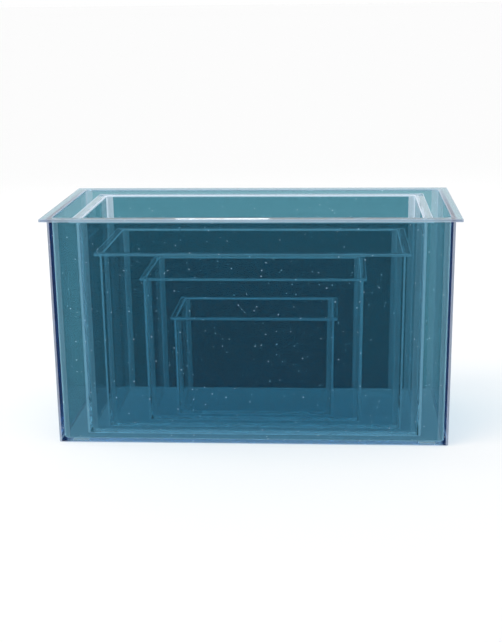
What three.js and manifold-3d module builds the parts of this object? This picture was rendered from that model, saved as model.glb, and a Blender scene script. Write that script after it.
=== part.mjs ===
// A nest of five clear plastic aquariums, each one injection moulding, in millimetres with +Z up.
// The largest stands on its feet at z = 0, centred on the origin, with its long side along X.
// Each smaller tank stands loose on the floor of the tank around it and lifts straight out.
import * as THREE from "three";
import { mergeVertices } from "three/addons/utils/BufferGeometryUtils.js";
import Module from "manifold-3d";

// Outside size of the largest tank, over its lip
const rimLength = 413;
const rimDepth = 210;
const rimHeight = 232;

// What every tank shares
const draftAngle = THREE.MathUtils.degToRad(1); // each wall leans out by this, so the mould lets go
const restGap = 0.3; // between a foot and the floor that it stands on
const lipCornerRadius = 1;
const gateRadius = 10.5; // the ring that the mould's gate leaves under the floor
const gateWidth = 1.2;
const gateDepth = 0.4;
const cornerSegments = 4;
const ringSegments = 18;

// How far a foot reaches into the floor above it, and a cut past the face that it opens
const joinOverlap = 1;
const cutOverrun = 4;
const mergeDistance = 1e-4;

// Each tank's own sizes. endGap and sideGap are the room beside its lip inside the tank around it,
// at the ends and along the sides, and rimDrop is how far its rim lies below that tank's rim.
const largestTank = {
  name: "largest_tank",
  wall: 4,
  floor: 3,
  lipOverhang: 6.5,
  lipThickness: 3,
  insideRadius: 6,
  outsideRadius: 2,
  footLength: 17,
  footWidth: 10,
  footHeight: 1,
  footInsetX: 12,
  footInsetY: 8,
  colour: 0xa9cfe0,
};

const largeTank = {
  name: "large_tank",
  endGap: 16.4,
  sideGap: 7,
  rimDrop: 4,
  wall: 3.8,
  floor: 2.7,
  lipOverhang: 5.9,
  lipThickness: 2.8,
  insideRadius: 6,
  outsideRadius: 2,
  footLength: 17,
  footWidth: 10,
  footHeight: 0.9,
  footInsetX: 12,
  footInsetY: 8,
  colour: 0xa6cde0,
};

const mediumTank = {
  name: "medium_tank",
  endGap: 10.7,
  sideGap: 3.2,
  rimDrop: 36,
  wall: 3.4,
  floor: 2.5,
  lipOverhang: 5,
  lipThickness: 2.6,
  insideRadius: 5,
  outsideRadius: 1.5,
  footLength: 17,
  footWidth: 10,
  footHeight: 0.8,
  footInsetX: 12,
  footInsetY: 8,
  colour: 0xa3cbe0,
};

const smallTank = {
  name: "small_tank",
  endGap: 34.5,
  sideGap: 6,
  rimDrop: 28.5,
  wall: 3,
  floor: 2.3,
  lipOverhang: 3.1,
  lipThickness: 2.2,
  insideRadius: 4.5,
  outsideRadius: 1.5,
  footLength: 16,
  footWidth: 9,
  footHeight: 0.7,
  footInsetX: 11,
  footInsetY: 7,
  colour: 0xa0c9e0,
};

const smallestTank = {
  name: "smallest_tank",
  endGap: 22.7,
  sideGap: 3.8,
  rimDrop: 43.5,
  wall: 2.6,
  floor: 2.2,
  lipOverhang: 3.2,
  lipThickness: 2.2,
  insideRadius: 4,
  outsideRadius: 1.5,
  footLength: 15,
  footWidth: 8,
  footHeight: 0.7,
  footInsetX: 10,
  footInsetY: 6,
  colour: 0x9dc7e0,
};

const nestedTanks = [largeTank, mediumTank, smallTank, smallestTank];

const wasm = await Module();
wasm.setup();

// A closed three.js geometry as a solid that can be joined and cut.
function solidFrom(geometry) {
  geometry.deleteAttribute("normal");
  geometry.deleteAttribute("uv");
  const merged = mergeVertices(geometry, mergeDistance);
  return new wasm.Manifold(
    new wasm.Mesh({
      numProp: 3,
      vertProperties: merged.attributes.position.array,
      triVerts: new Uint32Array(merged.index.array),
    }),
  );
}

// The finished solid back as a three.js geometry.
function geometryFrom(solid) {
  const mesh = solid.getMesh();
  const geometry = new THREE.BufferGeometry();
  geometry.setAttribute("position", new THREE.BufferAttribute(mesh.vertProperties, 3));
  geometry.setIndex(new THREE.BufferAttribute(mesh.triVerts, 1));
  const flat = geometry.toNonIndexed();
  flat.computeVertexNormals();
  return flat;
}

// A rectangle centred on the origin, with round corners.
function roundedRectangle(length, depth, radius) {
  const x = length / 2;
  const y = depth / 2;
  const shape = new THREE.Shape();
  shape.moveTo(-x + radius, -y);
  shape.lineTo(x - radius, -y);
  shape.absarc(x - radius, -y + radius, radius, -Math.PI / 2, 0, false);
  shape.lineTo(x, y - radius);
  shape.absarc(x - radius, y - radius, radius, 0, Math.PI / 2, false);
  shape.lineTo(-x + radius, y);
  shape.absarc(-x + radius, y - radius, radius, Math.PI / 2, Math.PI, false);
  shape.lineTo(-x, -y + radius);
  shape.absarc(-x + radius, -y + radius, radius, Math.PI, Math.PI * 1.5, false);
  return shape;
}

// How far a drafted wall has moved in, at a distance below its top.
function draftOver(distance) {
  return distance * Math.tan(draftAngle);
}

// A block with the given size at its top, whose four sides lean in towards its bottom.
function draftedBlock(length, depth, radius, bottom, top) {
  const block = new THREE.ExtrudeGeometry(roundedRectangle(length, depth, radius), {
    depth: top - bottom,
    bevelEnabled: false,
    curveSegments: cornerSegments,
  });
  const inset = draftOver(top - bottom);
  const position = block.attributes.position;
  for (let i = 0; i < position.count; i++) {
    if (position.getZ(i) > 0) continue;
    position.setX(i, position.getX(i) - Math.sign(position.getX(i)) * inset);
    position.setY(i, position.getY(i) - Math.sign(position.getY(i)) * inset);
  }
  block.translate(0, 0, bottom);
  return solidFrom(block);
}

// The lip: a flat plate over the top of the walls, cut through later with the inside.
function lipPlate(tank) {
  const plate = new THREE.ExtrudeGeometry(
    roundedRectangle(tank.rimLength, tank.rimDepth, lipCornerRadius),
    { depth: tank.lipThickness, bevelEnabled: false, curveSegments: cornerSegments },
  );
  plate.translate(0, 0, tank.rimZ - tank.lipThickness);
  return solidFrom(plate);
}

// One rectangular foot, with its outer corner set in from the corner of the tank's underside.
function foot(tank, sideX, sideY) {
  const underside = tank.baseZ + tank.footHeight;
  const lean = draftOver(tank.rimZ - underside);
  const cornerX = tank.rimLength / 2 - tank.lipOverhang - lean;
  const cornerY = tank.rimDepth / 2 - tank.lipOverhang - lean;
  const height = tank.footHeight + joinOverlap;
  const pad = new THREE.BoxGeometry(tank.footLength, tank.footWidth, height);
  pad.translate(
    sideX * (cornerX - tank.footInsetX - tank.footLength / 2),
    sideY * (cornerY - tank.footInsetY - tank.footWidth / 2),
    tank.baseZ + height / 2,
  );
  return solidFrom(pad);
}

// The shallow ring in the middle of the underside.
function gateRing(tank) {
  const ring = new THREE.Shape();
  ring.absarc(0, 0, gateRadius, 0, Math.PI * 2, false);
  const middle = new THREE.Path();
  middle.absarc(0, 0, gateRadius - gateWidth, 0, Math.PI * 2, true);
  ring.holes.push(middle);
  const cut = new THREE.ExtrudeGeometry(ring, {
    depth: gateDepth + cutOverrun,
    bevelEnabled: false,
    curveSegments: ringSegments,
  });
  cut.translate(0, 0, tank.baseZ + tank.footHeight - cutOverrun);
  return solidFrom(cut);
}

// A whole tank: the drafted outside with its lip and feet, less the inside and the ring.
function tankSolid(tank) {
  const underside = tank.baseZ + tank.footHeight;
  const lipUnderside = tank.rimZ - tank.lipThickness;
  const wallTop = lipUnderside + tank.lipThickness / 2;
  const outsideInset = tank.lipOverhang + draftOver(tank.rimZ - wallTop);
  let solid = draftedBlock(
    tank.rimLength - 2 * outsideInset,
    tank.rimDepth - 2 * outsideInset,
    tank.outsideRadius,
    underside,
    wallTop,
  ).add(lipPlate(tank));
  for (const sideX of [-1, 1]) {
    for (const sideY of [-1, 1]) {
      solid = solid.add(foot(tank, sideX, sideY));
    }
  }
  const cutTop = tank.rimZ + cutOverrun;
  const inside = draftedBlock(
    insideAt(tank, cutTop).length,
    insideAt(tank, cutTop).depth,
    tank.insideRadius,
    underside + tank.floor,
    cutTop,
  );
  return solid.subtract(inside).subtract(gateRing(tank));
}

// The length and depth between a tank's inner walls at a height.
function insideAt(tank, z) {
  const inset = tank.lipOverhang + tank.wall + draftOver(tank.rimZ - z);
  return { length: tank.rimLength - 2 * inset, depth: tank.rimDepth - 2 * inset };
}

// A smaller tank, sized and placed by the tank around it.
function placeInside(around, tank) {
  const rimZ = around.rimZ - tank.rimDrop;
  const room = insideAt(around, rimZ);
  return {
    ...tank,
    rimZ,
    rimLength: room.length - 2 * tank.endGap,
    rimDepth: room.depth - 2 * tank.sideGap,
    baseZ: around.baseZ + around.footHeight + around.floor + restGap,
  };
}

function clearPlastic(colour) {
  return new THREE.MeshStandardMaterial({
    color: colour,
    roughness: 0.06,
    metalness: 0,
    transparent: true,
    opacity: 0.35,
  });
}

const aquariumNest = new THREE.Group();
let placed = { ...largestTank, rimLength, rimDepth, rimZ: rimHeight, baseZ: 0 };
const placedTanks = [placed];
for (const tank of nestedTanks) {
  placed = placeInside(placed, tank);
  placedTanks.push(placed);
}
for (const tank of placedTanks) {
  const mesh = new THREE.Mesh(geometryFrom(tankSolid(tank)), clearPlastic(tank.colour));
  mesh.name = tank.name;
  aquariumNest.add(mesh);
}

export default aquariumNest;
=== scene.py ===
import math

import bmesh
import bpy
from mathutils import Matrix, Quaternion, Vector


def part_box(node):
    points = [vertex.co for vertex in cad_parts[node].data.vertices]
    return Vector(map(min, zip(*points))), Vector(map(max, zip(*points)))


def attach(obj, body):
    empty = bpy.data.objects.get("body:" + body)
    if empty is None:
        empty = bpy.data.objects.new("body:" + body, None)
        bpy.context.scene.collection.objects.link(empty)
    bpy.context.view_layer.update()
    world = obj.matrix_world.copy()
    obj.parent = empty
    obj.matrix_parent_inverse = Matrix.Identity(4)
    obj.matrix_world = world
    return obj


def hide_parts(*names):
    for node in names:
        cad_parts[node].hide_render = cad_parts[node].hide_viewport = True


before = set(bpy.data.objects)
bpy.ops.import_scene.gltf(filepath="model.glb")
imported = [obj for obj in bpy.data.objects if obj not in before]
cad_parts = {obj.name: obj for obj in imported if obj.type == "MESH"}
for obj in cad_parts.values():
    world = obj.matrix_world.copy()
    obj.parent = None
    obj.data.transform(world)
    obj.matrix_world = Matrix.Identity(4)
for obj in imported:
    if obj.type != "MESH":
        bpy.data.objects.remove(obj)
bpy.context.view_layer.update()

# A nest of five clear plastic aquariums. Each tank is one moulding, drawn here with the small
# rounded edges that the mould leaves, round the box that the frame gives for its node.

mm = 0.001


def colour(hexCode):
    values = [int(hexCode[i:i + 2], 16) / 255 for i in (1, 3, 5)]
    linear = [v / 12.92 if v <= 0.04045 else ((v + 0.055) / 1.055) ** 2.4 for v in values]
    return (*linear, 1.0)


# Adds a node, sets its properties, and fills or links its inputs
def addNode(tree, kind, settings=None, inputs=None):
    node = tree.nodes.new(kind)
    for name, value in (settings or {}).items():
        setattr(node, name, value)
    for socket, value in (inputs or {}).items():
        if isinstance(value, bpy.types.NodeSocket):
            tree.links.new(value, node.inputs[socket])
        else:
            node.inputs[socket].default_value = value
    return node


def newMaterial(name):
    material = bpy.data.materials.new(name)
    material.use_nodes = True
    material.node_tree.nodes.clear()
    return material, material.node_tree


# Camera
# It stands where the photograph was taken from, a little right of the middle and above the rim.
cameraSettings = {
    "place": (0.0875, -1.3764, 0.4503),
    "yaw": math.radians(3.845),  # towards -X
    "pitch": math.radians(-10.5),
    "roll": math.radians(-0.676),
    "focalPixels": 1336.8,
    "frameHeightPixels": 642,
    "sensorWidth": 36,
    "shiftY": -0.13,
}


def makeCamera(s):
    data = bpy.data.cameras.new("camera")
    data.sensor_width = s["sensorWidth"]
    data.lens = s["focalPixels"] / s["frameHeightPixels"] * data.sensor_width
    data.shift_y = s["shiftY"]
    camera = bpy.data.objects.new("camera", data)
    camera.location = s["place"]
    level = math.cos(s["pitch"])
    direction = Vector((-math.sin(s["yaw"]) * level, math.cos(s["yaw"]) * level, math.sin(s["pitch"])))
    camera.rotation_mode = "QUATERNION"
    camera.rotation_quaternion = direction.to_track_quat("-Z", "Y") @ Quaternion((0, 0, 1), s["roll"])
    bpy.context.scene.collection.objects.link(camera)
    bpy.context.scene.camera = camera


makeCamera(cameraSettings)
print("camera placed")


# Clear polystyrene, injection moulded in a polished mould: glassy flat faces that deepen to dark teal
# where walls stand behind each other, and to slate blue where a wall is seen end on. Its edges and
# inside floor are painted pale and grainy: part wear from handling and nesting, and part painted
# highlight along the edges and painted reflection on the floor. Elsewhere it has faint rub marks and
# dust.
clearPlastic = {
    "ior": 1.2,  # below polystyrene's 1.59, for walls that mirror little and show what is inside
    "passingTint": "#f9fcfd",  # what a wall lets through of light on its way to a dull surface
    "depthTint": "#86b2d6",  # what is left after a long way along an edge
    "roughness": (0.0, 0.03),
    "waveSize": 38 * mm,
    "waveHeight": 0.1 * mm,
    "waveNoise": {"Detail": 1.0, "Roughness": 0.4},
    "waveStrength": 0.4,
    "rubSize": 9 * mm,
    "rubNoise": {"Detail": 4.0, "Roughness": 0.62},
    "rubRange": (0.45, 0.8),  # the noise from which a rub begins, and at which it is full
    # The pale edge colour and the scuff settings below make a skin that is part wear and part painted
    # highlight
    "scuffAndHighlightColour": "#f0f3fc",
    "scuffAndHighlightGrain": 0.9 * mm,  # real scuffs are finer, and this is as fine as shows
    "scuffAndHighlightNoise": {"Detail": 2.0, "Roughness": 0.6},
    "scuffAndHighlightRange": (0.3, 0.7),
    "scuffAndHighlightLetsThrough": 0.5,  # the share of a scuff's light that comes from behind it
    "scuffAndHighlightLeast": 0.8,  # the cover between the grains of a scuff, as a share of that on them
    "dustSpacing": 7 * mm,
    "dustRadius": 0.3 * mm,  # coarser than real dust, so that it shows
    "dustColour": "#f4f6fa",
}


def makeClearPlastic(t):
    s = clearPlastic
    material, tree = newMaterial(t["node"] + "_clear_polystyrene")
    objectPlace = addNode(tree, "ShaderNodeTexCoord").outputs["Object"]
    place = addNode(tree, "ShaderNodeMapping", None,
                    {"Vector": objectPlace, "Location": t["patternShift"]}).outputs["Vector"]

    # Long slow waves left by the flow of the plastic
    waves = addNode(tree, "ShaderNodeTexNoise", None,
                    {"Vector": place, "Scale": 1 / s["waveSize"], **s["waveNoise"]})
    waveBump = addNode(tree, "ShaderNodeBump", None,
                       {"Height": waves.outputs["Fac"], "Distance": s["waveHeight"],
                        "Strength": s["waveStrength"]})

    # Rub marks: patches where nesting the tanks has dulled the polish
    rubs = addNode(tree, "ShaderNodeTexNoise", None,
                   {"Vector": place, "Scale": 1 / s["rubSize"], **s["rubNoise"]})
    roughness = addNode(tree, "ShaderNodeMapRange", None,
                        {"Value": rubs.outputs["Fac"],
                         "From Min": s["rubRange"][0], "From Max": s["rubRange"][1],
                         "To Min": s["roughness"][0], "To Max": s["roughness"][1]})

    body = addNode(tree, "ShaderNodeBsdfPrincipled", None,
                   {"Base Color": colour(t["wallTint"]), "Roughness": roughness.outputs["Result"],
                    "IOR": s["ior"], "Transmission Weight": 1.0,
                    "Normal": waveBump.outputs["Normal"]})

    # Scuffed edges: a grainy pale skin that light shines through, where the mesh says wear. It is part
    # wear and part painted highlight, pale lines that stand in for the glints along the edges.
    wearAndHighlight = addNode(tree, "ShaderNodeAttribute", {"attribute_name": "wearAndHighlight"}).outputs["Fac"]
    grit = addNode(tree, "ShaderNodeTexNoise", None,
                   {"Vector": place, "Scale": 1 / s["scuffAndHighlightGrain"], **s["scuffAndHighlightNoise"]})
    scuffAndHighlightCover = addNode(tree, "ShaderNodeMapRange", None,
                      {"Value": grit.outputs["Fac"],
                       "From Min": s["scuffAndHighlightRange"][0], "From Max": s["scuffAndHighlightRange"][1],
                       "To Min": s["scuffAndHighlightLeast"] * t["scuffAndHighlight"], "To Max": t["scuffAndHighlight"]})
    scuffAndHighlightShare = addNode(tree, "ShaderNodeMath", {"operation": "MULTIPLY"},
                         {0: wearAndHighlight, 1: scuffAndHighlightCover.outputs["Result"]})
    scuffAndHighlightFront = addNode(tree, "ShaderNodeBsdfDiffuse", None, {"Color": colour(s["scuffAndHighlightColour"])})
    scuffAndHighlightThrough = addNode(tree, "ShaderNodeBsdfTranslucent", None, {"Color": colour(s["scuffAndHighlightColour"])})
    scuffAndHighlight = addNode(tree, "ShaderNodeMixShader", None,
                    {0: s["scuffAndHighlightLetsThrough"], 1: scuffAndHighlightFront.outputs["BSDF"],
                     2: scuffAndHighlightThrough.outputs["BSDF"]})
    edged = addNode(tree, "ShaderNodeMixShader", None,
                    {0: scuffAndHighlightShare.outputs["Value"], 1: body.outputs["BSDF"], 2: scuffAndHighlight.outputs["Shader"]})

    # Dust: one small round grain in each cell of a loose pattern
    cells = addNode(tree, "ShaderNodeTexVoronoi", {"feature": "F1"},
                    {"Vector": place, "Scale": 1 / s["dustSpacing"], "Randomness": 1.0})
    grain = addNode(tree, "ShaderNodeMath", {"operation": "LESS_THAN"},
                    {0: cells.outputs["Distance"], 1: s["dustRadius"] / s["dustSpacing"]})
    dust = addNode(tree, "ShaderNodeBsdfDiffuse", None, {"Color": colour(s["dustColour"])})
    dusty = addNode(tree, "ShaderNodeMixShader", None,
                    {0: grain.outputs["Value"], 1: edged.outputs["Shader"], 2: dust.outputs["BSDF"]})

    # Light on its way to a dull surface passes the walls nearly clear, so what is inside stays lit.
    # Each mix is linked straight to its kind of ray, which keeps it plain for the export.
    lightPath = addNode(tree, "ShaderNodeLightPath").outputs
    clear = addNode(tree, "ShaderNodeBsdfTransparent", None, {"Color": colour(s["passingTint"])})
    bounced = addNode(tree, "ShaderNodeMixShader", None,
                      {0: lightPath["Is Diffuse Ray"], 1: dusty.outputs["Shader"],
                       2: clear.outputs["BSDF"]})
    surface = addNode(tree, "ShaderNodeMixShader", None,
                      {0: lightPath["Is Shadow Ray"], 1: bounced.outputs["Shader"],
                       2: clear.outputs["BSDF"]})
    depth = addNode(tree, "ShaderNodeVolumeAbsorption", None,
                    {"Color": colour(s["depthTint"]), "Density": t["depthDensity"]})
    addNode(tree, "ShaderNodeOutputMaterial", None,
            {"Surface": surface.outputs["Shader"], "Volume": depth.outputs["Volume"]})
    return material


# What every tank shares: its rounded edges, the ring under its floor, and how worn its feet are
moulding = {
    "draft": math.radians(1),
    "underEdge": 0.9 * mm,
    "underLip": 0.7 * mm,
    "lipEdge": 0.7 * mm,
    "lipCorner": 1.0 * mm,
    "rimInnerEdge": 0.9 * mm,
    "floorFillet": 1.6 * mm,
    "leastCorner": 0.4 * mm,
    "cornerWearAndHighlight": 0.6 * mm,  # how far a corner's wear and painted highlight reach onto the flats beside it
    "cornerSteps": 8,
    "edgeSteps": 4,
    "smoothAngle": math.radians(38),
    "footCornerSteps": 4,
    "footWear": 1.0,
    "ringRadius": 9.9 * mm,
    "ringWidth": 1.2 * mm,
    "ringDepth": 0.4 * mm,
    "ringSteps": 64,
    "ringWear": 1.0,
}


# The feet and the gate's ring, added to a tank's shell by Geometry Nodes
def makeFeetTree():
    tree = bpy.data.node_groups.new("feetAndGateRing", "GeometryNodeTree")
    tree.interface.new_socket("Shell", in_out="INPUT", socket_type="NodeSocketGeometry")
    for name in ("Foot Length", "Foot Width", "Foot Height", "Foot Corner", "Join Overlap",
                 "Foot Wear", "Spacing X", "Spacing Y", "Base", "Ring Radius", "Ring Width",
                 "Ring Depth", "Ring Wear"):
        tree.interface.new_socket(name, in_out="INPUT", socket_type="NodeSocketFloat")
    tree.interface.new_socket("Plastic", in_out="INPUT", socket_type="NodeSocketMaterial")
    tree.interface.new_socket("Tank", in_out="OUTPUT", socket_type="NodeSocketGeometry")
    given = addNode(tree, "NodeGroupInput").outputs

    def maths(operation, a, b):
        return addNode(tree, "ShaderNodeMath", {"operation": operation}, {0: a, 1: b}).outputs[0]

    def paleCover(geometry, share):
        return addNode(tree, "GeometryNodeStoreNamedAttribute",
                       {"data_type": "FLOAT", "domain": "FACE"},
                       {"Geometry": geometry, "Name": "wearAndHighlight", "Value": share}).outputs["Geometry"]

    def raised(geometry, height):
        lift = addNode(tree, "ShaderNodeCombineXYZ", None, {"Z": height}).outputs["Vector"]
        return addNode(tree, "GeometryNodeTransform", None,
                       {"Geometry": geometry, "Translation": lift}).outputs["Geometry"]

    # One foot: a rectangle with round corners, given its height
    outline = addNode(tree, "GeometryNodeCurvePrimitiveQuadrilateral", None,
                      {"Width": given["Foot Length"], "Height": given["Foot Width"]}).outputs["Curve"]
    rounded = addNode(tree, "GeometryNodeFilletCurve", {"mode": "POLY"},
                      {"Curve": outline, "Count": moulding["footCornerSteps"],
                       "Radius": given["Foot Corner"]}).outputs["Curve"]
    sole = addNode(tree, "GeometryNodeFillCurve", {"mode": "NGONS"}, {"Curve": rounded}).outputs["Mesh"]
    height = maths("ADD", given["Foot Height"], given["Join Overlap"])
    walls = addNode(tree, "GeometryNodeExtrudeMesh", None,
                    {"Mesh": sole, "Offset Scale": height}).outputs["Mesh"]
    turnedSole = addNode(tree, "GeometryNodeFlipFaces", None, {"Mesh": sole}).outputs["Mesh"]
    loose = addNode(tree, "GeometryNodeJoinGeometry")
    tree.links.new(walls, loose.inputs["Geometry"])
    tree.links.new(turnedSole, loose.inputs["Geometry"])
    foot = addNode(tree, "GeometryNodeMergeByDistance", None,
                   {"Geometry": loose.outputs["Geometry"]}).outputs["Geometry"]

    corners = addNode(tree, "GeometryNodeMeshGrid", None,
                      {"Size X": given["Spacing X"], "Size Y": given["Spacing Y"],
                       "Vertices X": 2, "Vertices Y": 2}).outputs["Mesh"]
    feet = addNode(tree, "GeometryNodeInstanceOnPoints", None,
                   {"Points": raised(corners, given["Base"]),
                    "Instance": paleCover(foot, given["Foot Wear"])}).outputs["Instances"]

    # The ring is a square groove swept round a circle
    circle = addNode(tree, "GeometryNodeCurvePrimitiveCircle", None,
                     {"Resolution": moulding["ringSteps"],
                      "Radius": given["Ring Radius"]}).outputs["Curve"]
    section = addNode(tree, "GeometryNodeCurvePrimitiveQuadrilateral", None,
                      {"Width": given["Ring Width"],
                       "Height": maths("MULTIPLY", given["Ring Depth"], 2)}).outputs["Curve"]
    groove = addNode(tree, "GeometryNodeCurveToMesh", None,
                     {"Curve": circle, "Profile Curve": section}).outputs["Mesh"]
    underside = maths("ADD", given["Base"], given["Foot Height"])

    footed = addNode(tree, "GeometryNodeMeshBoolean", {"operation": "UNION"})
    tree.links.new(given["Shell"], footed.inputs["Mesh 2"])
    tree.links.new(feet, footed.inputs["Mesh 2"])
    ringed = addNode(tree, "GeometryNodeMeshBoolean", {"operation": "DIFFERENCE"},
                     {"Mesh 1": footed.outputs["Mesh"]})
    tree.links.new(raised(paleCover(groove, given["Ring Wear"]), underside), ringed.inputs["Mesh 2"])
    real = addNode(tree, "GeometryNodeRealizeInstances", None, {"Geometry": ringed.outputs["Mesh"]})
    painted = addNode(tree, "GeometryNodeSetMaterial", None,
                      {"Geometry": real.outputs["Geometry"], "Material": given["Plastic"]})
    addNode(tree, "NodeGroupOutput", None, {"Tank": painted.outputs["Geometry"]})
    return tree


# A rectangle with round corners, anticlockwise from the +X side. Each corner has one more point on
# the flat at either end of its round, which its wear and painted highlight reach.
def ringPoints(halfX, halfY, radius, z):
    steps = moulding["cornerSteps"]
    points = []
    for corner, (signX, signY) in enumerate(((1, 1), (-1, 1), (-1, -1), (1, -1))):
        middle = Vector((signX * (halfX - radius), signY * (halfY - radius), z))
        for step in range(-1, steps + 2):
            angle = (corner + min(max(step, 0), steps) / steps) * math.pi / 2
            outwards = Vector((math.cos(angle), math.sin(angle), 0))
            onwards = Vector((-math.sin(angle), math.cos(angle), 0))
            beyond = (step > steps) - (step < 0)
            points.append(middle + radius * outwards + beyond * moulding["cornerWearAndHighlight"] * onwards)
    return points


# How pale each strip of the shell is, part wear and part painted highlight, on its straight runs and
# round its corners. Each round has four narrow strips, and one broad strip joins it to the next round.
shellWearAndHighlight = [
    {"strip": "under edge", "round": (1.0, 1.0), "broad": (0.0, 1.0)},
    {"strip": "under lip", "round": (0.0, 0.5), "broad": (0.0, 0.5)},
    {"strip": "lip lower edge", "round": (1.0, 1.0), "broad": (0.65, 1.0)},
    {"strip": "lip upper edge", "round": (1.0, 1.0), "broad": (0.2, 0.5)},
    {"strip": "rim inner edge", "round": (1.0, 1.0), "broad": (0.0, 0.5)},
    {"strip": "floor edge", "round": (0.5, 0.6), "broad": (0.0, 0.0)},
]
# The inside floor's pale grainy cover is part rub marks and part painted reflection
insideFloorWearAndReflection = 0.75


# A tank's shell as rings of points, up the outside, over the lip and down the inside
def shellRings(t):
    low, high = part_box(t["node"])
    halfX, halfY = (high[0] - low[0]) / 2, (high[1] - low[1]) / 2
    rim = high[2]
    underside = low[2] + t["footHeight"]
    lipUnder = rim - t["lipThickness"]
    floorTop = underside + t["floor"]
    lean = math.tan(moulding["draft"])
    steps = moulding["edgeSteps"]
    rings = []

    # inset is how far the ring lies inside the lip's outline
    def ring(inset, radius, z):
        rings.append((halfX - inset, halfY - inset, max(radius, moulding["leastCorner"]), z))

    def outside(z):
        return t["lipOverhang"] + (rim - z) * lean

    def inside(z):
        return outside(z) + t["wall"]

    quarter = [i / steps * math.pi / 2 for i in range(steps + 1)]
    for a in quarter:
        r = moulding["underEdge"]
        z = underside + r * (1 - math.cos(a))
        ring(outside(z) + r * (1 - math.sin(a)), t["outsideRadius"] - r * (1 - math.sin(a)), z)
    for a in quarter:
        r = moulding["underLip"]
        z = lipUnder - r * (1 - math.sin(a))
        ring(outside(z) - r * (1 - math.cos(a)), t["outsideRadius"] + r * (1 - math.cos(a)), z)
    for a in quarter:
        r = moulding["lipEdge"]
        ring(r * (1 - math.sin(a)), moulding["lipCorner"] - r * (1 - math.sin(a)),
             lipUnder + r * (1 - math.cos(a)))
    for a in quarter:
        r = moulding["lipEdge"]
        ring(r * (1 - math.cos(a)), moulding["lipCorner"] - r * (1 - math.cos(a)),
             rim - r * (1 - math.sin(a)))
    for a in quarter:
        r = moulding["rimInnerEdge"]
        z = rim - r * (1 - math.cos(a))
        ring(inside(z) - r * (1 - math.sin(a)), t["insideRadius"] + r * (1 - math.sin(a)), z)
    for a in quarter:
        r = moulding["floorFillet"]
        z = floorTop + r * (1 - math.sin(a))
        ring(inside(z) + r * (1 - math.cos(a)), t["insideRadius"] - r * (1 - math.cos(a)), z)
    return rings


def makeShell(t):
    mesh = bpy.data.meshes.new(t["node"])
    made = bmesh.new()
    wearAndHighlight = made.faces.layers.float.new("wearAndHighlight")
    loops = [[made.verts.new(point) for point in ringPoints(*ring)] for ring in shellRings(t)]
    stripsEach = moulding["edgeSteps"] + 1
    pointsEach = len(loops[0]) // 4
    for strip, (below, above) in enumerate(zip(loops, loops[1:])):
        paleCover = shellWearAndHighlight[strip // stripsEach]
        straight, corner = paleCover["broad" if strip % stripsEach == stripsEach - 1 else "round"]
        for i in range(len(below)):
            j = (i + 1) % len(below)
            face = made.faces.new((below[i], below[j], above[j], above[i]))
            face[wearAndHighlight] = straight if j % pointsEach == 0 else corner
    made.faces.new(list(reversed(loops[0])))
    made.faces.new(loops[-1])[wearAndHighlight] = insideFloorWearAndReflection
    made.to_mesh(mesh)
    made.free()
    return mesh


# The mesh of an object with all its modifiers applied
def appliedMesh(piece):
    evaluated = piece.evaluated_get(bpy.context.evaluated_depsgraph_get())
    return bpy.data.meshes.new_from_object(evaluated)


def makeTank(t, feetTree):
    low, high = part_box(t["node"])
    material = makeClearPlastic(t)
    piece = bpy.data.objects.new(t["node"] + "_moulding", makeShell(t))
    bpy.context.scene.collection.objects.link(piece)

    lean = (high[2] - low[2] - t["footHeight"]) * math.tan(moulding["draft"])
    cornerX = (high[0] - low[0]) / 2 - t["lipOverhang"] - lean
    cornerY = (high[1] - low[1]) / 2 - t["lipOverhang"] - lean
    sizes = {
        "Foot Length": t["footLength"],
        "Foot Width": t["footWidth"],
        "Foot Height": t["footHeight"],
        "Foot Corner": t["footCorner"],
        "Foot Wear": moulding["footWear"],
        "Join Overlap": t["floor"] / 2,
        "Spacing X": 2 * (cornerX - t["footInsetX"]) - t["footLength"],
        "Spacing Y": 2 * (cornerY - t["footInsetY"]) - t["footWidth"],
        "Base": low[2],
        "Ring Radius": moulding["ringRadius"],
        "Ring Width": moulding["ringWidth"],
        "Ring Depth": moulding["ringDepth"],
        "Ring Wear": moulding["ringWear"],
        "Plastic": material,
    }
    feet = piece.modifiers.new("feet", "NODES")
    feet.node_group = feetTree
    for item in feetTree.interface.items_tree:
        if item.in_out == "INPUT" and item.name in sizes:
            feet[item.identifier] = sizes[item.name]
    footed = appliedMesh(piece)
    piece.modifiers.remove(feet)
    piece.data = footed

    # Flat faces stay flat and only the small rounds are shaded smooth
    footed.shade_smooth()
    footed.set_sharp_from_angle(angle=moulding["smoothAngle"])
    flatten = piece.modifiers.new("flatten", "WEIGHTED_NORMAL")
    flatten.keep_sharp = True
    shaded = appliedMesh(piece)
    piece.modifiers.remove(flatten)
    piece.data = shaded

    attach(piece, t["body"])
    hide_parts(t["node"])
    print(t["node"], "made with", len(shaded.polygons), "faces")


feetTree = makeFeetTree()

# In each tank, wallTint is what one wall lets through, depthDensity is how fast it darkens along an
# edge, and scuff is how thickly the pale edges are covered, part wear and part painted highlight. The
# outer tanks carry most of the tint, so that the edges inside them still read pale. patternShift gives
# each tank marks of its own.
largestTank = {
    "node": "largest_tank", "body": "largest", "patternShift": (0.0, 0.0, 0.0),
    "wallTint": "#81afba", "depthDensity": 26.0, "scuffAndHighlight": 0.45,
    "wall": 4 * mm, "floor": 3 * mm, "lipOverhang": 6.5 * mm, "lipThickness": 3 * mm,
    "insideRadius": 6 * mm, "outsideRadius": 2 * mm,
    "footLength": 17 * mm, "footWidth": 10 * mm, "footHeight": 1 * mm, "footCorner": 1.5 * mm,
    "footInsetX": 12 * mm, "footInsetY": 8 * mm,
}
makeTank(largestTank, feetTree)

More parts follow.
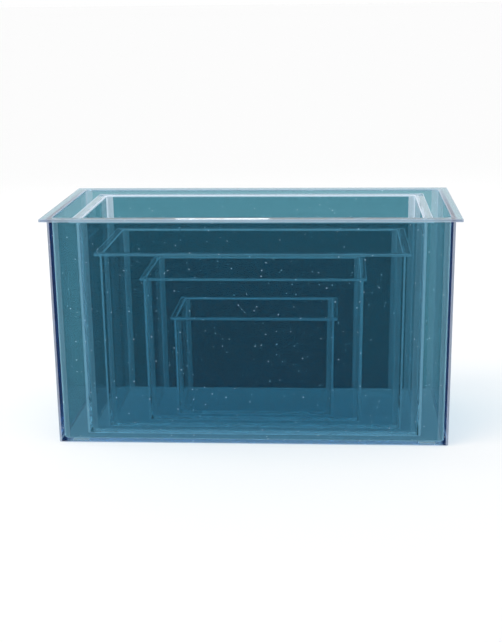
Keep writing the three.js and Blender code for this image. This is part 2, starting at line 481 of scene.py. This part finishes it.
largeTank = {
    "node": "large_tank", "body": "large", "patternShift": (0.7, 0.2, 0.4),
    "wallTint": "#a6cbd3", "depthDensity": 0.8, "scuffAndHighlight": 1.0,
    "wall": 3.8 * mm, "floor": 2.7 * mm, "lipOverhang": 5.9 * mm, "lipThickness": 2.8 * mm,
    "insideRadius": 6 * mm, "outsideRadius": 2 * mm,
    "footLength": 17 * mm, "footWidth": 10 * mm, "footHeight": 0.9 * mm, "footCorner": 1.5 * mm,
    "footInsetX": 12 * mm, "footInsetY": 8 * mm,
}
makeTank(largeTank, feetTree)

mediumTank = {
    "node": "medium_tank", "body": "medium", "patternShift": (0.3, 0.9, 0.6),
    "wallTint": "#d4ebef", "depthDensity": 0.8, "scuffAndHighlight": 1.0,
    "wall": 3.4 * mm, "floor": 2.5 * mm, "lipOverhang": 5 * mm, "lipThickness": 2.6 * mm,
    "insideRadius": 5 * mm, "outsideRadius": 1.5 * mm,
    "footLength": 17 * mm, "footWidth": 10 * mm, "footHeight": 0.8 * mm, "footCorner": 1.5 * mm,
    "footInsetX": 12 * mm, "footInsetY": 8 * mm,
}
makeTank(mediumTank, feetTree)

smallTank = {
    "node": "small_tank", "body": "small", "patternShift": (0.5, 0.1, 0.8),
    "wallTint": "#e5f3f6", "depthDensity": 0.8, "scuffAndHighlight": 1.0,
    "wall": 3 * mm, "floor": 2.3 * mm, "lipOverhang": 3.1 * mm, "lipThickness": 2.2 * mm,
    "insideRadius": 4.5 * mm, "outsideRadius": 1.5 * mm,
    "footLength": 16 * mm, "footWidth": 9 * mm, "footHeight": 0.7 * mm, "footCorner": 1.2 * mm,
    "footInsetX": 11 * mm, "footInsetY": 7 * mm,
}
makeTank(smallTank, feetTree)

smallestTank = {
    "node": "smallest_tank", "body": "smallest", "patternShift": (0.2, 0.6, 0.1),
    "wallTint": "#ecf7f8", "depthDensity": 0.8, "scuffAndHighlight": 1.0,
    "wall": 2.6 * mm, "floor": 2.2 * mm, "lipOverhang": 3.2 * mm, "lipThickness": 2.2 * mm,
    "insideRadius": 4 * mm, "outsideRadius": 1.5 * mm,
    "footLength": 15 * mm, "footWidth": 8 * mm, "footHeight": 0.7 * mm, "footCorner": 1.2 * mm,
    "footInsetX": 10 * mm, "footInsetY": 6 * mm,
}
makeTank(smallestTank, feetTree)


# Floor, sky and lamps
studio = {
    "floorColour": "#f8f8f8",
    "floorSize": 80.0,
    "skyColour": "#ffffff",
    "skyStrength": 0.55,  # what falls on the object; the eye sees it at 1
    "softboxes": [
        {"name": "key", "towards": (0.55, 0.42, -0.9), "angle": math.radians(35), "strength": 1.45},
        {"name": "fill", "towards": (-0.7, 0.45, -0.8), "angle": math.radians(60), "strength": 0.55},
    ],
    "strips": [
        {"name": "left_strip", "place": (-1.1, 0.1, 0.75), "size": (0.1, 1.2), "watts": 1.6},
        {"name": "back_strip", "place": (-0.2, 1.2, 0.95), "size": (1.4, 0.1), "watts": 2.0},
        {"name": "rim_glint", "place": (-0.124, 1.0, 0.43), "size": (0.17, 0.024), "watts": 0.05},
    ],
}


def makeFloor(s):
    half = s["floorSize"] / 2
    corners = [(-half, -half, 0), (half, -half, 0), (half, half, 0), (-half, half, 0)]
    mesh = bpy.data.meshes.new("floor")
    mesh.from_pydata(corners, [], [(0, 1, 2, 3)])
    floor = bpy.data.objects.new("floor", mesh)
    material, tree = newMaterial("pale_floor")
    pale = addNode(tree, "ShaderNodeBsdfDiffuse", None, {"Color": colour(s["floorColour"])})
    addNode(tree, "ShaderNodeOutputMaterial", None, {"Surface": pale.outputs["BSDF"]})
    mesh.materials.append(material)
    bpy.context.scene.collection.objects.link(floor)


def makeSky(s):
    world = bpy.data.worlds.new("sky")
    bpy.context.scene.world = world
    world.use_nodes = True
    tree = world.node_tree
    tree.nodes.clear()
    path = addNode(tree, "ShaderNodeLightPath").outputs
    seen = addNode(tree, "ShaderNodeMath", {"operation": "MAXIMUM"},
                   {0: path["Is Camera Ray"], 1: path["Is Glossy Ray"]}).outputs[0]
    seen = addNode(tree, "ShaderNodeMath", {"operation": "MAXIMUM"},
                   {0: seen, 1: path["Is Transmission Ray"]}).outputs[0]
    strength = addNode(tree, "ShaderNodeMapRange", None,
                       {"Value": seen, "To Min": s["skyStrength"], "To Max": 1.0}).outputs["Result"]
    sky = addNode(tree, "ShaderNodeBackground", None,
                  {"Color": colour(s["skyColour"]), "Strength": strength})
    addNode(tree, "ShaderNodeOutputWorld", None, {"Surface": sky.outputs["Background"]})


def addLamp(data, place, direction):
    light = bpy.data.objects.new(data.name, data)
    light.location = place
    light.rotation_mode = "QUATERNION"
    light.rotation_quaternion = Vector(direction).to_track_quat("-Z", "Y")
    bpy.context.scene.collection.objects.link(light)
    return light


def makeLamps(s):
    for lamp in s["softboxes"]:
        data = bpy.data.lights.new(lamp["name"], "SUN")
        data.angle = lamp["angle"]
        data.energy = lamp["strength"]
        addLamp(data, -Vector(lamp["towards"]), lamp["towards"])
    for lamp in s["strips"]:
        data = bpy.data.lights.new(lamp["name"], "AREA")
        data.shape = "RECTANGLE"
        data.size, data.size_y = lamp["size"]
        data.energy = lamp["watts"]
        strip = addLamp(data, lamp["place"], -Vector(lamp["place"]))
        strip.visible_camera = False
        strip.visible_transmission = False


makeFloor(studio)
makeSky(studio)
makeLamps(studio)

# Light crosses up to ten walls and two faces each, so its path may be long
scene = bpy.context.scene
scene.cycles.max_bounces = 40
scene.cycles.transmission_bounces = 40
scene.cycles.glossy_bounces = 40
scene.cycles.transparent_max_bounces = 64
scene.view_settings.view_transform = "Standard"
print("floor, sky and lamps made")
